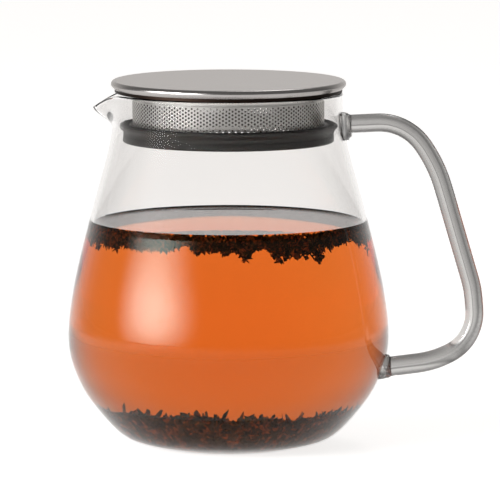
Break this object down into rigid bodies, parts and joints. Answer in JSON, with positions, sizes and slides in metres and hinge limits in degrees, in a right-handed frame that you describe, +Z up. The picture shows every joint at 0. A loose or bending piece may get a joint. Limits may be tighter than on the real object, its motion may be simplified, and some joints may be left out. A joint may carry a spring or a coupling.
{
  "type": "glass teapot with strainer lid",
  "caption": "Clear glass teapot with a beak spout, a loop rod handle and a lift-off steel lid that carries a perforated strainer band and a silicone gasket.",
  "frame": {"origin": "centre of the flat foot, on the surface that the pot stands on", "axes": "+Z up along the pot's axis; +X towards the handle, -X towards the spout"},
  "size_m": [0.1438, 0.1106, 0.1267],
  "materials": {
    "pot_glass": "clear fire-polished borosilicate glass",
    "rod_glass": "clear solid borosilicate glass rod",
    "silicone": "smoke grey translucent silicone, satin",
    "lid_steel": "satin stainless steel with a polished rolled rim",
    "base_steel": "plain stainless steel sheet",
    "strainer_steel": "photo-etched stainless steel with fine staggered holes"
  },
  "bodies": {
    "pot": {"glass_body": "pot_glass", "handle_rod": "rod_glass", "upper_handle_weld": "rod_glass", "lower_handle_weld": "rod_glass"},
    "seal": {"gasket": "silicone"},
    "lid": {"lid_cover": "lid_steel", "lid_base_plate": "base_steel", "strainer_collar": "strainer_steel", "strainer_band": "strainer_steel", "strainer_hem": "strainer_steel", "spot_welds": "base_steel"}
  },
  "joints": [
    {"name": "lid_lift", "type": "slide", "parent": "pot", "child": "seal", "axis": [0, 0, 1], "range_m": [0, 0.045]},
    {"name": "lid_turn", "type": "hinge", "parent": "seal", "child": "lid", "pos_m": [0, 0, 0.115], "axis": [0, 0, 1], "continuous": true}
  ]
}
